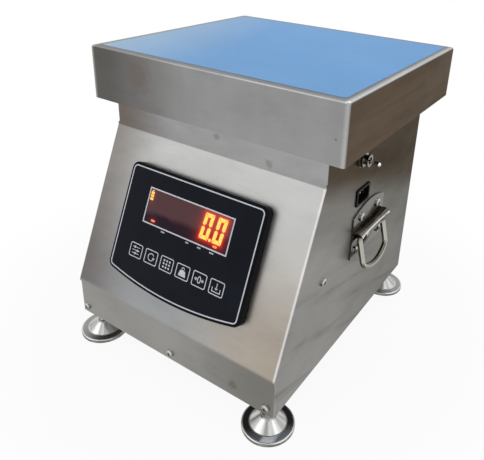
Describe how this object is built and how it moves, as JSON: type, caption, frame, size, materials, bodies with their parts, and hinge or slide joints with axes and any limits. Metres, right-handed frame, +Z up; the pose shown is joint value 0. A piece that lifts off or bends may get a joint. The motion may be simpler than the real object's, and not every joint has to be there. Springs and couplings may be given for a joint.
{
  "type": "platform scale",
  "caption": "Bench platform scale: stainless housing with a sloping display face, a wide weighing pan, side bail handles and levelling feet.",
  "frame": {"origin": "on the floor, under the middle of the footprint", "axes": "+Z up out of the pan, -Y the side the display faces, +X the side with the mains inlet and switch"},
  "size_m": [0.3011, 0.336, 0.3202],
  "materials": {
    "housing_steel": "fine brushed stainless sheet",
    "pan_steel": "fine brushed stainless sheet",
    "blue_film": "smooth protective film",
    "bracket_steel": "zinc plated",
    "cell_aluminium": "machined",
    "fastener_steel": "bright stainless",
    "handle_steel": "polished stainless",
    "black_moulding": "glossy moulding",
    "black_plastic": "satin moulding",
    "overlay_print": "printed polyester film",
    "display_filter": "smoked red filter",
    "key_cap": "printed polyester film",
    "digit_block": "dark moulding",
    "circuit_board": "green solder mask",
    "battery_case": "satin case",
    "core_iron": "varnished laminations",
    "switch_metal": "nickel plated",
    "pin_brass": "nickel plated brass",
    "foot_steel": "polished stainless",
    "black_rubber": "moulded"
  },
  "bodies": {
    "housing": {"base_tray": "housing_steel", "battery": "battery_case", "battery_strap": "bracket_steel", "board_standoffs": "pin_brass", "digit_modules": "digit_block", "display_board": "circuit_board", "display_window": "display_filter", "foot_nuts": "fastener_steel", "front_panel": "housing_steel", "handle_nuts": "fastener_steel", "handle_plate_left": "handle_steel", "handle_plate_right": "handle_steel", "handle_screws": "fastener_steel", "housing_screws": "fastener_steel", "indicator_bezel": "black_moulding", "indicator_cover": "black_moulding", "indicator_gasket": "black_rubber", "indicator_screws": "fastener_steel", "inlet_pins": "pin_brass", "key_switches": "digit_block", "keypad_overlay": "overlay_print", "left_side_panel": "housing_steel", "load_cell": "cell_aluminium", "load_cell_bridge": "bracket_steel", "lower_cell_bolts": "fastener_steel", "lower_cell_spacer": "bracket_steel", "main_board": "circuit_board", "overload_stops": "fastener_steel", "power_inlet": "black_plastic", "power_shelf": "bracket_steel", "rear_panel": "housing_steel", "right_side_panel": "housing_steel", "toggle_body": "switch_metal", "toggle_nut": "fastener_steel", "top_deck": "housing_steel", "transformer": "core_iron"},
    "platform": {"upper_cell_spacer": "bracket_steel", "upper_cell_bolts": "fastener_steel", "pan_spider": "cell_aluminium", "spider_pads": "black_rubber"},
    "weighing_pan": {"pan": "pan_steel", "pan_film": "blue_film"},
    "right_bail": {"handle_bail_right": "handle_steel"},
    "left_bail": {"handle_bail_left": "handle_steel"},
    "power_lever": {"toggle_lever": "switch_metal"},
    "key_1_cap": {"key_1": "key_cap"},
    "key_2_cap": {"key_2": "key_cap"},
    "key_3_cap": {"key_3": "key_cap"},
    "key_4_cap": {"key_4": "key_cap"},
    "key_5_cap": {"key_5": "key_cap"},
    "key_6_cap": {"key_6": "key_cap"},
    "foot_front_left": {"foot_pad_front_left": "foot_steel", "foot_stud_front_left": "fastener_steel"},
    "foot_front_right": {"foot_pad_front_right": "foot_steel", "foot_stud_front_right": "fastener_steel"},
    "foot_rear_left": {"foot_pad_rear_left": "foot_steel", "foot_stud_rear_left": "fastener_steel"},
    "foot_rear_right": {"foot_pad_rear_right": "foot_steel", "foot_stud_rear_right": "fastener_steel"}
  },
  "joints": [
    {"name": "platform_deflection", "type": "slide", "parent": "housing", "child": "platform", "axis": [0, 0, 1], "range_m": [-0.0004, 0], "stiffness_N_per_m": 100000, "springref_m": 0.0003, "deforming": ["load_cell"]},
    {"name": "pan_lift", "type": "slide", "parent": "platform", "child": "weighing_pan", "axis": [0, 0, 1], "range_m": [0, 0.08]},
    {"name": "right_bail_swing", "type": "hinge", "parent": "housing", "child": "right_bail", "pos_m": [0.1354, 0.0128, 0.153], "axis": [0, -1, 0], "range_deg": [0, 76]},
    {"name": "left_bail_swing", "type": "hinge", "parent": "housing", "child": "left_bail", "pos_m": [-0.1354, 0.0128, 0.153], "axis": [0, 1, 0], "range_deg": [0, 76]},
    {"name": "power_switch", "type": "hinge", "parent": "housing", "child": "power_lever", "pos_m": [0.134, -0.018, 0.24], "axis": [0, 0, 1], "range_deg": [0, 25]},
    {"name": "key_1_press", "type": "slide", "parent": "housing", "child": "key_1_cap", "axis": [0, 0.9159, -0.4014], "range_m": [0, 0.0004], "stiffness_N_per_m": 3000},
    {"name": "key_2_press", "type": "slide", "parent": "housing", "child": "key_2_cap", "axis": [0, 0.9159, -0.4014], "range_m": [0, 0.0004], "stiffness_N_per_m": 3000},
    {"name": "key_3_press", "type": "slide", "parent": "housing", "child": "key_3_cap", "axis": [0, 0.9159, -0.4014], "range_m": [0, 0.0004], "stiffness_N_per_m": 3000},
    {"name": "key_4_press", "type": "slide", "parent": "housing", "child": "key_4_cap", "axis": [0, 0.9159, -0.4014], "range_m": [0, 0.0004], "stiffness_N_per_m": 3000},
    {"name": "key_5_press", "type": "slide", "parent": "housing", "child": "key_5_cap", "axis": [0, 0.9159, -0.4014], "range_m": [0, 0.0004], "stiffness_N_per_m": 3000},
    {"name": "key_6_press", "type": "slide", "parent": "housing", "child": "key_6_cap", "axis": [0, 0.9159, -0.4014], "range_m": [0, 0.0004], "stiffness_N_per_m": 3000},
    {"name": "foot_front_left_height", "type": "slide", "parent": "housing", "child": "foot_front_left", "axis": [0, 0, 1], "range_m": [-0.012, 0.006]},
    {"name": "foot_front_right_height", "type": "slide", "parent": "housing", "child": "foot_front_right", "axis": [0, 0, 1], "range_m": [-0.012, 0.006]},
    {"name": "foot_rear_left_height", "type": "slide", "parent": "housing", "child": "foot_rear_left", "axis": [0, 0, 1], "range_m": [-0.012, 0.006]},
    {"name": "foot_rear_right_height", "type": "slide", "parent": "housing", "child": "foot_rear_right", "axis": [0, 0, 1], "range_m": [-0.012, 0.006]}
  ]
}
